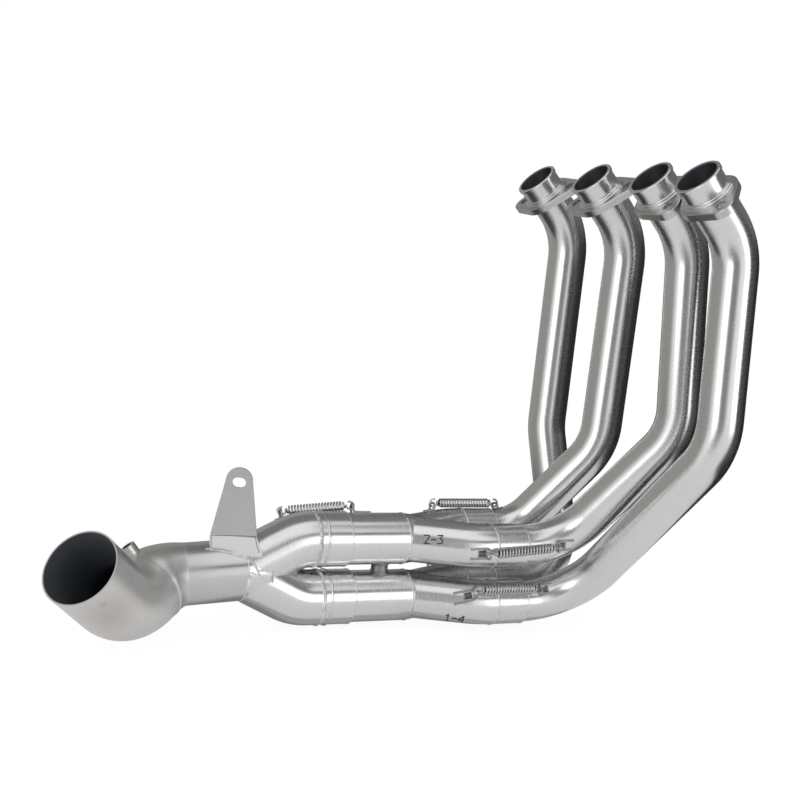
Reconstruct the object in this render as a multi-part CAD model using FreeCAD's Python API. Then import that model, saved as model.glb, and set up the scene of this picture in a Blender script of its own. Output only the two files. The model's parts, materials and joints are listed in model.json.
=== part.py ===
# Four-into-two-into-one exhaust header for an inline four.
# Millimetres. +X points forward, +Y to the left, +Z up.
# The origin is the middle of the row of port mouths.
import FreeCAD
import Part
import math
import os

V = FreeCAD.Vector

# Wall thickness and joint clearances
WALL = 1.2
SLIP_GAP = 0.25
FLANGE_GAP = 0.6
HOOK_GAP = 0.3

# Row of ports: positions along the row, lean of the port axes from upright
PORT_Y = {1: 132.0, 2: 30.0, 3: -64.0, 4: -130.0}
PORT_LEAN = 46.0

# Turned port collar: bore, lip, body, two shoulder rings
PORT_BORE_R = 18.0
LIP_R = 21.5
LIP_LENGTH = 3.2
COLLAR_R = 20.4
COLLAR_BODY_END = 16.0
RING_1_R = 22.3
RING_1_END = 17.8
RING_2_R = 23.8
COLLAR_LENGTH = 20.0
EDGE_BREAK = 0.6

# Loose two-bolt flange
FLANGE_THICKNESS = 7.0
FLANGE_WAIST_R = 27.0
FLANGE_EAR_R = 11.5
FLANGE_BOLT_SPACING = 62.0
FLANGE_BOLT_R = 4.5
FLANGE_TURN = {1: -66.0, 2: -64.0, 3: -121.0, 4: -114.0}

# Primary tubes: straight below the mouth, two bend corners, three bend radii
PRIMARY_R = 20.0
PORT_STRAIGHT = {1: 69.0, 2: 72.0, 3: 73.0, 4: 75.0}
KNEE = {
    1: V(46.0, 126.0, -261.0),
    2: V(49.0, 29.0, -263.0),
    3: V(65.0, -70.0, -232.0),
    4: V(52.0, -144.0, -233.0),
}
HEEL_X = {1: 56.0, 2: -13.0, 3: 4.0, 4: 24.0}
BEND_R = {
    1: (70.0, 64.0, 57.0),
    2: (70.0, 68.0, 48.0),
    3: (70.0, 64.0, 67.0),
    4: (58.0, 64.0, 66.0),
}

# Merges of two primaries: the legs lie side by side, one pair above the other
PIPE_Y = 42.0
LEG_SPACING = 62.0
UPPER_Z = -361.0
LOWER_Z = -417.0
UPPER_JOINT_X = -76.0
LOWER_JOINT_X = -69.0
UPPER_MERGE_X = -156.0
LOWER_MERGE_X = -147.0
SLEEVE_LENGTH = 34.0
TUBE_STOP = 4.0

# Each merge leg leaves the mouth aslant and turns level: corner distance, bend radius
PRIMARY_MERGE_BEND = (66.0, 60.0)
REAR_MERGE_BEND = (55.0, 50.0)
MERGE_NECK = 22.0

# Secondary tubes and the short cross tube between them
SECONDARY_R = 24.4
CROSS_X = -175.0
CROSS_R = 8.0
CROSS_FLARE = 3.0

# Rear merge with its two sleeves
COLLECTOR_X = -247.0
LOWER_LEG_EXTRA = 9.0
COLLECTOR_SLEEVE_LENGTH = 32.0
SLEEVE_BEAD_OFFSET = 8.0
SLEEVE_BEAD_R = 1.2
OUTLET_X = -314.0
OUTLET_Z = -389.0
OUTLET_R = 28.0

# Outlet tube and the large elbow behind it
ELBOW_CORNER_1 = V(-384.0, 50.0, -396.0)
ELBOW_CORNER_2 = V(-419.0, 18.0, -416.0)
ELBOW_END = V(-469.0, -24.0, -365.0)
ELBOW_BEND_R = (45.0, 50.0)
ELBOW_R = 33.0
ELBOW_WALL = 1.3
ELBOW_FLARE_LENGTH = 26.0
ELBOW_SECTIONS = 7

# Sensor bung on the elbow
BUNG_SPOT = V(-391.4, 43.0, -400.3)
BUNG_AXIS = V(-0.60, 0.145, 0.79)
BUNG_R = 7.0
BUNG_HOLE_R = 4.25
BUNG_TOP = 41.0

# Folded bracket on top of the rear merge
BRACKET_FOOT = V(-329.0, 27.5, 0.0)
BRACKET_TURN = -22.6
BRACKET_SHEET = 2.5
BRACKET_TOP_R = 12.0
BRACKET_TOP = (1.9, -304.9)
BRACKET_FOLD_Z = -355.2
BRACKET_FOLD = (-19.5, 22.1)
BRACKET_FOOT_Z = -371.0
BRACKET_FLAP = (-19.8, 28.8)
BRACKET_FLAP_SET = 5.0
SLOT_LENGTH = 12.0
SLOT_WIDTH = 9.0

# Tension springs and their welded hooks
SPRING_R = 4.8
SPRING_WIRE_R = 0.8
SPRING_TURNS = 7
SPRING_TAPER = 4.0
LOOP_R = 3.8
HOOK_WIRE_R = 1.1
HOOK_HALF_WIDTH = 4.8
HOOK_BEND_R = 2.4
HOOK_SEAT = 0.6


def port_axis():
    lean = math.radians(PORT_LEAN)
    return V(-math.sin(lean), 0, math.cos(lean))


def port_place(number, turn=0.0):
    lean = FreeCAD.Rotation(V(0, 1, 0), -PORT_LEAN)
    spin = FreeCAD.Rotation(V(0, 0, 1), turn)
    return FreeCAD.Placement(V(0, PORT_Y[number], 0), lean * spin)


def polygon(points):
    return Part.makePolygon(points + [points[0]])


def corner_path(corners, radii):
    # Straight stretches joined by true arcs, as a bent tube has them
    edges = []
    start = corners[0]
    for index, radius in enumerate(radii):
        before, corner, after = corners[index:index + 3]
        incoming = (corner - before).normalize()
        outgoing = (after - corner).normalize()
        half = incoming.getAngle(outgoing) / 2.0
        setback = radius * math.tan(half)
        arc_start = corner - incoming * setback
        arc_end = corner + outgoing * setback
        inward = (outgoing - incoming).normalize()
        arc_mid = corner + inward * (radius / math.cos(half) - radius)
        edges.append(Part.makeLine(start, arc_start))
        edges.append(Part.Arc(arc_start, arc_mid, arc_end).toShape())
        start = arc_end
    edges.append(Part.makeLine(start, corners[-1]))
    return Part.Wire(edges)


def round_bar(path, radius):
    edge = path.Edges[0]
    start = edge.valueAt(edge.FirstParameter)
    heading = edge.tangentAt(edge.FirstParameter)
    ring = Part.Wire(Part.makeCircle(radius, start, heading))
    shell = path.makePipeShell([ring], True, False)
    return Part.Solid(Part.Shell(shell.Faces)) if shell.ShapeType != "Solid" else shell


def tube_along(path, radius, wall):
    return round_bar(path, radius).cut(round_bar(path, radius - wall))


def straight_tube(start, end, radius, wall):
    length = (end - start).Length
    outer = Part.makeCylinder(radius, length, start, end - start)
    inner = Part.makeCylinder(radius - wall, length, start, end - start)
    return outer.cut(inner)


def leg_z(number):
    return LOWER_Z if number in (1, 4) else UPPER_Z


def leg_y(number):
    side = 1.0 if number in (1, 2) else -1.0
    return PIPE_Y + side * LEG_SPACING / 2.0


def joint_x(number):
    return LOWER_JOINT_X if number in (1, 4) else UPPER_JOINT_X


def primary_path(number):
    axis = port_axis()
    mouth = V(0, PORT_Y[number], 0)
    stop = joint_x(number) + TUBE_STOP
    corners = [
        mouth - axis * COLLAR_LENGTH,
        mouth - axis * PORT_STRAIGHT[number],
        KNEE[number],
        V(HEEL_X[number], leg_y(number), leg_z(number)),
        V(stop, leg_y(number), leg_z(number)),
    ]
    return corner_path(corners, BEND_R[number])


def primary_tube(number):
    return tube_along(primary_path(number), PRIMARY_R, WALL)


def port_collar(number):
    b = EDGE_BREAK
    profile = polygon([
        V(PORT_BORE_R, 0, -COLLAR_LENGTH),
        V(RING_2_R, 0, -COLLAR_LENGTH),
        V(RING_2_R, 0, -RING_1_END - b),
        V(RING_2_R - b, 0, -RING_1_END),
        V(RING_1_R, 0, -RING_1_END),
        V(RING_1_R, 0, -COLLAR_BODY_END - b),
        V(RING_1_R - b, 0, -COLLAR_BODY_END),
        V(COLLAR_R, 0, -COLLAR_BODY_END),
        V(COLLAR_R, 0, -LIP_LENGTH - b),
        V(LIP_R, 0, -LIP_LENGTH),
        V(LIP_R, 0, -b),
        V(LIP_R - b, 0, 0),
        V(PORT_BORE_R + b, 0, 0),
        V(PORT_BORE_R, 0, -b),
    ])
    collar = Part.Face(profile).revolve(V(0, 0, 0), V(0, 0, 1), 360)
    collar.Placement = port_place(number)
    return collar


def flange_outline():
    # Two ears joined to a round waist by their common tangents
    reach = FLANGE_BOLT_SPACING / 2.0
    lean = math.acos((FLANGE_WAIST_R - FLANGE_EAR_R) / reach)
    c, s = math.cos(lean), math.sin(lean)
    right_ear = V(reach + FLANGE_EAR_R * c, FLANGE_EAR_R * s, 0)
    right_waist = V(FLANGE_WAIST_R * c, FLANGE_WAIST_R * s, 0)
    tip = V(reach + FLANGE_EAR_R, 0, 0)
    top = V(0, FLANGE_WAIST_R, 0)
    down = V(1, -1, 0)
    flip = V(-1, 1, 0)

    def mirrored(point, by):
        return V(point.x * by.x, point.y * by.y, 0)

    return Part.Wire([
        Part.Arc(mirrored(right_ear, down), tip, right_ear).toShape(),
        Part.makeLine(right_ear, right_waist),
        Part.Arc(right_waist, top, mirrored(right_waist, flip)).toShape(),
        Part.makeLine(mirrored(right_waist, flip), mirrored(right_ear, flip)),
        Part.Arc(mirrored(right_ear, flip), tip * -1, right_ear * -1).toShape(),
        Part.makeLine(right_ear * -1, right_waist * -1),
        Part.Arc(right_waist * -1, top * -1, mirrored(right_waist, down)).toShape(),
        Part.makeLine(mirrored(right_waist, down), mirrored(right_ear, down)),
    ])


def port_flange(number):
    plate = Part.Face(flange_outline()).extrude(V(0, 0, -FLANGE_THICKNESS))
    rims = [e for e in plate.Edges if abs(e.CenterOfMass.z) < 0.01]
    plate = plate.makeChamfer(EDGE_BREAK, rims)
    drill = V(0, 0, -FLANGE_THICKNESS - 1)
    deep = FLANGE_THICKNESS + 2
    plate = plate.cut(Part.makeCylinder(PRIMARY_R + FLANGE_GAP, deep, drill))
    for side in (-1, 1):
        spot = drill + V(side * FLANGE_BOLT_SPACING / 2.0, 0, 0)
        plate = plate.cut(Part.makeCylinder(FLANGE_BOLT_R, deep, spot))
    plate.translate(V(0, 0, -COLLAR_LENGTH))
    seated = port_place(number, FLANGE_TURN[number])
    plate.Placement = seated.multiply(plate.Placement)
    return plate


def sleeve_radius(tube_radius):
    return tube_radius + SLIP_GAP + WALL


def slip_sleeve(number):
    start = V(joint_x(number), leg_y(number), leg_z(number))
    end = start + V(SLEEVE_LENGTH, 0, 0)
    return straight_tube(start, end, sleeve_radius(PRIMARY_R), WALL)


def merge_filled(length, offset, leg_radius, mouth_radius, bend):
    # One leg and half of the mouth's cone, held to its side of the seam, then mirrored
    corner, bend_radius = bend
    back = V(corner, offset, 0) * -0.2
    path = corner_path([back, V(corner, offset, 0), V(length, offset, 0)], [bend_radius])
    neck = Part.makeCone(mouth_radius, leg_radius, MERGE_NECK, V(0, 0, 0), V(1, 0, 0))
    wide = mouth_radius + 2 * length
    room = Part.makeCone(mouth_radius, wide, 2 * length, V(0, 0, 0), V(1, 0, 0))
    side = Part.makeBox(length, 2 * wide, 2 * wide, V(0, 0, -wide))
    half = round_bar(path, leg_radius).common(room).fuse(neck).common(side)
    other = half.mirror(V(0, 0, 0), V(0, 1, 0))
    return half.fuse(other).removeSplitter()


def merge_body(length, offset, leg_radius, mouth_radius, bend):
    outer = merge_filled(length, offset, leg_radius, mouth_radius, bend)
    inner = merge_filled(length, offset, leg_radius - WALL, mouth_radius - WALL, bend)
    return outer.cut(inner)


def primary_merge_size(number):
    mouth = LOWER_MERGE_X if number in (1, 4) else UPPER_MERGE_X
    return (joint_x(number) - mouth, LEG_SPACING / 2.0,
            sleeve_radius(PRIMARY_R), SECONDARY_R, PRIMARY_MERGE_BEND)


def primary_merge_place(shape, number):
    mouth = LOWER_MERGE_X if number in (1, 4) else UPPER_MERGE_X
    shape.translate(V(mouth, PIPE_Y, leg_z(number)))
    return shape


def rear_merge_place(shape):
    # Turned a quarter so that the legs lie one above the other
    shape.rotate(V(0, 0, 0), V(1, 0, 0), 90)
    shape.translate(V(OUTLET_X, PIPE_Y, OUTLET_Z))
    return shape


def rear_merge_size():
    return (COLLECTOR_X - OUTLET_X, (UPPER_Z - LOWER_Z) / 2.0,
            sleeve_radius(SECONDARY_R), OUTLET_R, REAR_MERGE_BEND)


def collector_solid(inset):
    # The lower leg ends a little further forward than the upper one
    length, offset, leg_radius, mouth_radius, bend = rear_merge_size()
    legs = merge_filled(length, offset, leg_radius - inset, mouth_radius - inset, bend)
    start = V(COLLECTOR_X, PIPE_Y, LOWER_Z)
    extra = Part.makeCylinder(leg_radius - inset, LOWER_LEG_EXTRA, start, V(1, 0, 0))
    return rear_merge_place(legs).fuse(extra).removeSplitter()


def collector_body():
    return collector_solid(0.0).cut(collector_solid(WALL))


def collector_end(height):
    extra = LOWER_LEG_EXTRA if height == LOWER_Z else 0.0
    return V(COLLECTOR_X + extra, PIPE_Y, height)


def secondary_tube(mouth, height):
    start = collector_end(height) + V(TUBE_STOP, 0, 0)
    end = V(mouth, PIPE_Y, height)
    tube = straight_tube(start, end, SECONDARY_R, WALL)
    return tube.cut(cross_bore())


def cross_bore():
    height = UPPER_Z - LOWER_Z
    return Part.makeCylinder(CROSS_R - WALL, height, V(CROSS_X, PIPE_Y, LOWER_Z))


def cross_tube():
    # A short tube with flared ends, saddled onto both secondary tubes
    middle = (UPPER_Z + LOWER_Z) / 2.0
    half = (UPPER_Z - LOWER_Z) / 2.0 - SECONDARY_R + 6.0
    neck = 2.5
    wide = CROSS_R + CROSS_FLARE
    profile = polygon([
        V(CROSS_R - WALL, 0, -half),
        V(wide, 0, -half),
        V(wide, 0, -half + 3.0),
        V(CROSS_R, 0, -neck),
        V(CROSS_R, 0, neck),
        V(wide, 0, half - 3.0),
        V(wide, 0, half),
        V(CROSS_R - WALL, 0, half),
    ])
    body = Part.Face(profile).revolve(V(0, 0, 0), V(0, 0, 1), 360)
    body.translate(V(CROSS_X, PIPE_Y, middle))
    for height in (UPPER_Z, LOWER_Z):
        start = V(CROSS_X - 40, PIPE_Y, height)
        body = body.cut(Part.makeCylinder(SECONDARY_R, 80, start, V(1, 0, 0)))
    return body


def collector_sleeve(height):
    start = collector_end(height)
    radius = sleeve_radius(SECONDARY_R)
    sleeve = Part.makeCylinder(radius, COLLECTOR_SLEEVE_LENGTH, start, V(1, 0, 0))
    bead_at = start + V(SLEEVE_BEAD_OFFSET, 0, 0)
    bead = Part.makeTorus(radius - 0.2, SLEEVE_BEAD_R, bead_at, V(1, 0, 0))
    bore = Part.makeCylinder(radius - WALL, COLLECTOR_SLEEVE_LENGTH, start, V(1, 0, 0))
    return sleeve.fuse(bead).cut(bore)


def elbow_path():
    start = V(OUTLET_X, PIPE_Y, OUTLET_Z)
    corners = [start, ELBOW_CORNER_1, ELBOW_CORNER_2, ELBOW_END]
    return corner_path(corners, ELBOW_BEND_R)


def seam_length():
    return elbow_path().Edges[0].Length


def path_point(path, distance):
    for edge in path.Edges:
        if distance <= edge.Length + 1e-6:
            at = edge.getParameterByLength(min(distance, edge.Length))
            return edge.valueAt(at), edge.tangentAt(at)
        distance -= edge.Length
    at = path.Edges[-1].LastParameter
    return path.Edges[-1].valueAt(at), path.Edges[-1].tangentAt(at)


def ring_at(centre, heading, radius):
    # The seam of every ring is on its upper side, so that a loft has no twist
    across = heading.cross(V(0, 0, 1))
    turn = FreeCAD.Rotation(heading.cross(across) * -1, across, heading, "ZXY")
    ring = Part.makeCircle(radius)
    ring.Placement = FreeCAD.Placement(centre, turn)
    return Part.Wire(ring)


def loft_rings(rings):
    wires = [ring_at(centre, heading, radius) for centre, heading, radius in rings]
    return Part.makeLoft(wires, True, False)


def elbow_filled(wall):
    # The first bend flares from the tube to full width; from there the bore is constant
    path = elbow_path()
    begin = seam_length()
    flare = path.Edges[1]
    rings = []
    for step in range(ELBOW_SECTIONS):
        run = flare.Length * step / (ELBOW_SECTIONS - 1)
        centre, heading = path_point(path, begin + run)
        grown = min(1.0, run / ELBOW_FLARE_LENGTH)
        radius = OUTLET_R + (ELBOW_R - OUTLET_R) * grown
        rings.append((centre, heading, radius - wall))
    rest = round_bar(Part.Wire(path.Edges[2:]), ELBOW_R - wall)
    return loft_rings(rings).fuse(rest)


def outlet_bar(radius):
    # The tube heads a little outwards, and its front end is cut square to the collector
    start = V(OUTLET_X, PIPE_Y, OUTLET_Z)
    heading = (ELBOW_CORNER_1 - start).normalize()
    bar = Part.makeCylinder(radius, seam_length() + 12, start - heading * 12, heading)
    room = Part.makeBox(400, 200, 200, V(OUTLET_X - 400, PIPE_Y - 100, OUTLET_Z - 100))
    return bar.common(room)


def outlet_tube():
    return outlet_bar(OUTLET_R).cut(outlet_bar(OUTLET_R - WALL))


def bung_bar(radius, bottom, top):
    axis = V(BUNG_AXIS).normalize()
    return Part.makeCylinder(radius, top - bottom, BUNG_SPOT + axis * bottom, axis)


def outlet_elbow():
    body = elbow_filled(0.0).cut(elbow_filled(ELBOW_WALL))
    return body.cut(bung_bar(BUNG_HOLE_R, 10.0, BUNG_TOP))


def sensor_bung():
    boss = bung_bar(BUNG_R, 20.0, BUNG_TOP).cut(bung_bar(BUNG_HOLE_R, 19.0, BUNG_TOP + 1))
    return boss.cut(elbow_filled(0.0))


def bracket_place(shape):
    shape.rotate(V(0, 0, 0), V(0, 0, 1), BRACKET_TURN)
    shape.translate(BRACKET_FOOT)
    return shape


def bracket_upright():
    left, right = BRACKET_FOLD
    middle, height = BRACKET_TOP
    r = BRACKET_TOP_R
    y = BRACKET_FLAP_SET
    outline = Part.Wire([
        Part.makeLine(V(left, y, BRACKET_FOLD_Z), V(middle - r, y, height)),
        Part.Arc(V(middle - r, y, height), V(middle, y, height + r),
                 V(middle + r, y, height)).toShape(),
        Part.makeLine(V(middle + r, y, height), V(right, y, BRACKET_FOLD_Z)),
        Part.makeLine(V(right, y, BRACKET_FOLD_Z), V(left, y, BRACKET_FOLD_Z)),
    ])
    plate = Part.Face(outline).extrude(V(0, BRACKET_SHEET, 0))
    half = (SLOT_LENGTH - SLOT_WIDTH) / 2.0
    slot = Part.makeBox(2 * half, 10, SLOT_WIDTH,
                        V(middle - half, y - 3, height - 1.5 - SLOT_WIDTH / 2.0))
    for side in (-half, half):
        spot = V(middle + side, y - 3, height - 1.5)
        slot = slot.fuse(Part.makeCylinder(SLOT_WIDTH / 2.0, 10, spot, V(0, 1, 0)))
    return plate.cut(slot)


def bracket_flap():
    # The foot runs forward and down from the fold to the pipes
    drop = BRACKET_FOLD_Z - BRACKET_FOOT_Z
    run = BRACKET_FLAP_SET * drop / 12.5
    y = BRACKET_FLAP_SET
    top = BRACKET_FOLD_Z
    side = polygon([
        V(0, y, top),
        V(0, y + BRACKET_SHEET, top),
        V(0, y + BRACKET_SHEET - run, top - drop),
        V(0, y - run, top - drop),
    ])
    left, right = BRACKET_FLAP
    slab = Part.Face(side).extrude(V(right - left, 0, 0))
    slab.translate(V(left, 0, 0))
    ends = BRACKET_FOLD
    mask = polygon([
        V(ends[0], -60, top),
        V(ends[1], -60, top),
        V(right, -60, top - drop + 2.5),
        V(right - 1.5, -60, top - drop + 1.0),
        V(left + 5.0, -60, top - drop),
        V(left + 0.8, -60, top - 8.0),
        V(left, -60, top - 4.0),
    ])
    return slab.common(Part.Face(mask).extrude(V(0, 120, 0)))


def mounting_bracket():
    sheet = bracket_upright().fuse(bracket_flap()).removeSplitter()
    sheet = bracket_place(sheet)
    sheet = sheet.cut(outlet_bar(OUTLET_R)).cut(collector_solid(0.0))
    kept = sorted(sheet.Solids, key=lambda solid: solid.Volume)
    return kept[-1]


# Springs: pipe axis (y, z), then rear and front hook bar as x, angle round the pipe and
# distance from its axis, then how far the feet of the rear and front hook run along the pipe
def spring_table():
    near_y = PIPE_Y - LEG_SPACING / 2.0
    far_y = PIPE_Y + LEG_SPACING / 2.0
    wide = ((-271.0, 37.5, 32.8), (-203.5, 59.5, 32.8), (7.0, 16.0))
    under = ((-262.0, -20.0, 32.2), (-194.5, -20.0, 32.2), (7.0, 16.0))
    return {
        "1": ((far_y, LOWER_Z), (-95.0, 40.0, 27.2), (-24.0, 40.0, 27.2), (12.0, 12.0)),
        "2": ((far_y, UPPER_Z), (-108.6, 85.0, 26.9), (-34.5, 78.0, 26.9), (12.0, 6.0)),
        "3": ((near_y, UPPER_Z), (-88.9, 181.5, 27.1), (-15.0, 167.5, 31.2), (16.0, 16.0)),
        "4": ((near_y, LOWER_Z), (-94.0, 137.0, 27.0), (-22.8, 136.0, 27.0), (18.0, 18.0)),
        "upper": ((PIPE_Y, UPPER_Z),) + wide,
        "lower": ((PIPE_Y, LOWER_Z),) + under,
    }


def spring_line(key):
    (y, z), rear_end, front_end, runs = spring_table()[key]
    bars = []
    for x, angle, distance in (rear_end, front_end):
        a = math.radians(angle)
        bars.append(V(x, y + math.cos(a) * distance, z + math.sin(a) * distance))
    rear, front = bars
    ahead = (front - rear).normalize()
    middle = (rear + front) * 0.5
    out = V(0, middle.y - y, middle.z - z)
    out = (out - ahead * out.dot(ahead)).normalize()
    return rear, front, out


def end_loop(tip, inward, out):
    # Open loop round the bar at tip, joined to the coil along its axis
    centre = tip + inward * (LOOP_R - HOOK_WIRE_R - SPRING_WIRE_R - HOOK_GAP)
    neck = centre + inward * LOOP_R
    begin = centre + (out * 0.95 + inward * 0.31) * LOOP_R
    far = centre - inward * LOOP_R
    arc = Part.Arc(neck, centre - out * LOOP_R, far).toShape()
    rest = Part.Arc(far, centre + (out - inward).normalize() * LOOP_R, begin).toShape()
    loop = round_bar(Part.Wire([arc, rest]), SPRING_WIRE_R)
    return loop, neck


def tension_spring(key):
    rear, front, out = spring_line(key)
    ahead = (front - rear).normalize()
    rear_loop, rear_neck = end_loop(rear, ahead, out)
    front_loop, front_neck = end_loop(front, ahead * -1, out)
    length = (front_neck - rear_neck).Length
    barrel = length - 2 * SPRING_TAPER
    pitch = barrel / SPRING_TURNS
    wire = SPRING_WIRE_R
    valley = SPRING_R - 0.9
    outer = [V(wire, 0, -0.4), V(wire + 0.6, 0, 0.4), V(valley, 0, SPRING_TAPER)]
    for turn in range(SPRING_TURNS):
        base = SPRING_TAPER + turn * pitch
        outer.append(V(SPRING_R, 0, base + pitch / 2.0))
        outer.append(V(valley, 0, base + pitch))
    outer += [V(wire + 0.6, 0, length - 0.4), V(wire, 0, length + 0.4)]
    ends = [V(0, 0, length + 0.4), V(0, 0, -0.4)]
    body = Part.Face(polygon(outer + ends)).revolve(V(0, 0, 0), V(0, 0, 1), 360)
    body.Placement = FreeCAD.Placement(rear_neck, FreeCAD.Rotation(V(0, 0, 1), ahead))
    return body.fuse([rear_loop, front_loop])


def surface_drop(spot, out, pipe):
    # How far below a spot the skin of the pipe lies
    inside = Part.makeLine(spot, spot - out * 60.0).common(pipe)
    return min((vertex.Point - spot).Length for vertex in inside.Vertexes)


def hook_staple(tip, inward, out, run, pipe):
    # Hairpin of wire: its bar is at tip, it stands on the pipe, and its feet lie along it
    across = inward.cross(out).normalize()
    feet = []
    for side in (1, -1):
        top = tip + across * side * HOOK_HALF_WIDTH
        heel = top - out * (surface_drop(top, out, pipe) - HOOK_SEAT)
        toe = top - inward * run
        toe = toe - out * (surface_drop(toe, out, pipe) - HOOK_SEAT)
        feet.append([toe, heel, top])
    left, right = feet
    wire = corner_path(left + right[::-1], [HOOK_BEND_R] * 4)
    staple = round_bar(wire, HOOK_WIRE_R).cut(pipe)
    kept = sorted(staple.Solids, key=lambda solid: solid.Volume)
    return kept[-1]


def spring_hooks(key, rear_pipe, front_pipe):
    rear, front, out = spring_line(key)
    rear_run, front_run = spring_table()[key][3]
    ahead = (front - rear).normalize()
    return (hook_staple(rear, ahead, out, rear_run, rear_pipe),
            hook_staple(front, ahead * -1, out, front_run, front_pipe))


def save(shape, name):
    if len(shape.Solids) == 1:
        shape = shape.Solids[0]
    shape.exportStep("parts/" + name + ".step")
    print(name, shape.ShapeType, len(shape.Solids), "solids", round(shape.Volume), "mm3")


def save_primaries():
    for number in (1, 2, 3, 4):
        save(primary_tube(number), "primary_tube_%d" % number)
        save(port_collar(number), "port_collar_%d" % number)
        save(port_flange(number), "port_flange_%d" % number)
        save(slip_sleeve(number), "slip_sleeve_%d" % number)


def save_rear_half():
    save(primary_merge_place(merge_body(*primary_merge_size(2)), 2), "merge_2_3")
    save(primary_merge_place(merge_body(*primary_merge_size(1)), 1), "merge_1_4")
    save(secondary_tube(UPPER_MERGE_X, UPPER_Z), "secondary_tube_upper")
    save(secondary_tube(LOWER_MERGE_X, LOWER_Z), "secondary_tube_lower")
    save(cross_tube(), "cross_tube")
    save(collector_sleeve(UPPER_Z), "collector_sleeve_upper")
    save(collector_sleeve(LOWER_Z), "collector_sleeve_lower")
    save(collector_body(), "collector_body")
    save(outlet_tube(), "outlet_tube")
    save(outlet_elbow(), "outlet_elbow")
    save(sensor_bung(), "sensor_bung")
    save(mounting_bracket(), "mounting_bracket")


def save_springs():
    for number in (1, 2, 3, 4):
        key = str(number)
        tube = round_bar(primary_path(number), PRIMARY_R)
        merge = primary_merge_place(merge_filled(*primary_merge_size(number)), number)
        rear, front = spring_hooks(key, merge, tube)
        save(tension_spring(key), "joint_spring_" + key)
        save(rear, "merge_hook_" + key)
        save(front, "primary_hook_" + key)
    collector = collector_solid(0.0)
    for key, height in (("upper", UPPER_Z), ("lower", LOWER_Z)):
        tube = Part.makeCylinder(SECONDARY_R, 90, collector_end(height), V(1, 0, 0))
        rear, front = spring_hooks(key, collector, tube)
        save(tension_spring(key), "collector_spring_" + key)
        save(rear, "collector_hook_" + key)
        save(front, "secondary_hook_" + key)


def main():
    os.makedirs("parts", exist_ok=True)
    save_primaries()
    save_rear_half()
    save_springs()


main()
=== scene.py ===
import json
import math
import random

import bpy
import numpy as np
from mathutils import Matrix, Vector
from mathutils.bvhtree import BVHTree


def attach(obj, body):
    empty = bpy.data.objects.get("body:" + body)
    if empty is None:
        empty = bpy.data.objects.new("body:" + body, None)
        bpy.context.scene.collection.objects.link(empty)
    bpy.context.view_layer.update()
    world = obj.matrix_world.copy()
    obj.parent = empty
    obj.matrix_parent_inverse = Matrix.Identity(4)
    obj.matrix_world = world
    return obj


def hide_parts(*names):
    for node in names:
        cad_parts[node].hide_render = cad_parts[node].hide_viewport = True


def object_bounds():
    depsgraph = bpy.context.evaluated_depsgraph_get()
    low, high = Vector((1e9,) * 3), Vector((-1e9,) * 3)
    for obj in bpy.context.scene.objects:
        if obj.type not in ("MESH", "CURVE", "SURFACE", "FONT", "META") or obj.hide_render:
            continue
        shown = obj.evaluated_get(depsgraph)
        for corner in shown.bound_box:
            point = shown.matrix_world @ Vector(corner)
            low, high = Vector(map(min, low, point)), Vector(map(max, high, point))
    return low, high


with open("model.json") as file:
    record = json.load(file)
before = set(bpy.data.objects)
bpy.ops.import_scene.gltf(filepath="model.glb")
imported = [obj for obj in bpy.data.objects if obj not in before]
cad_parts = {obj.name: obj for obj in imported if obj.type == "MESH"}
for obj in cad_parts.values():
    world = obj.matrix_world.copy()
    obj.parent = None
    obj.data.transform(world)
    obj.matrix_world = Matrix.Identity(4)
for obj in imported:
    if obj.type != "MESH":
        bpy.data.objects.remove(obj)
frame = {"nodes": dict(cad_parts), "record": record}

# Exhaust header in brushed stainless steel on a white floor.
# Sizes of the part are in millimetres and MM turns them into Blender's metres.
MM = 0.001
cad_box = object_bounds()

# Camera: place, turn to the right, look down, roll, and focal length for 800 pixels
CAMERA_PLACE = Vector((-646.76, -950.13, -87.27))
CAMERA_YAW = math.radians(25.561)
CAMERA_PITCH = math.radians(7.26)
CAMERA_ROLL = math.radians(6.174)
FOCAL_PIXELS = 1180.9
PHOTO_PIXELS = 800.0
SENSOR = 36.0

# Centre lines of the pipes, as the solids have them
PORT_Y = {1: 132.0, 2: 30.0, 3: -64.0, 4: -130.0}
PORT_LEAN = math.radians(46.0)
COLLAR_LENGTH = 20.0
PORT_STRAIGHT = {1: 69.0, 2: 72.0, 3: 73.0, 4: 75.0}
KNEE = {1: (46, 126, -261), 2: (49, 29, -263), 3: (65, -70, -232), 4: (52, -144, -233)}
HEEL_X = {1: 56.0, 2: -13.0, 3: 4.0, 4: 24.0}
BEND_R = {1: (70, 64, 57), 2: (70, 68, 48), 3: (70, 64, 67), 4: (58, 64, 66)}
PIPE_Y = 42.0
LEG_Y = {1: 73.0, 2: 73.0, 3: 11.0, 4: 11.0}
LEG_Z = {1: -417.0, 2: -361.0, 3: -361.0, 4: -417.0}
JOINT_X = {1: -69.0, 2: -76.0, 3: -76.0, 4: -69.0}
MOUTH = {"upper": (-156.0, -361.0), "lower": (-147.0, -417.0)}
COLLECTOR_X = {"upper": -247.0, "lower": -238.0}
CROSS_X = -175.0
OUTLET = Vector((-314, 42, -389))
ELBOW_CORNERS = [Vector((-384, 50, -396)), Vector((-419, 18, -416)), Vector((-469, -24, -365))]
ELBOW_BEND_R = (45.0, 50.0)
BRACKET_FOOT = Vector((-329, 27.5, -348))
BRACKET_TURN = math.radians(-22.6)
FOLD_Z = -355.2
BUNG_SPOT = Vector((-391.4, 43, -400.3))
BUNG_AXIS = Vector((-0.60, 0.145, 0.79)).normalized()

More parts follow.
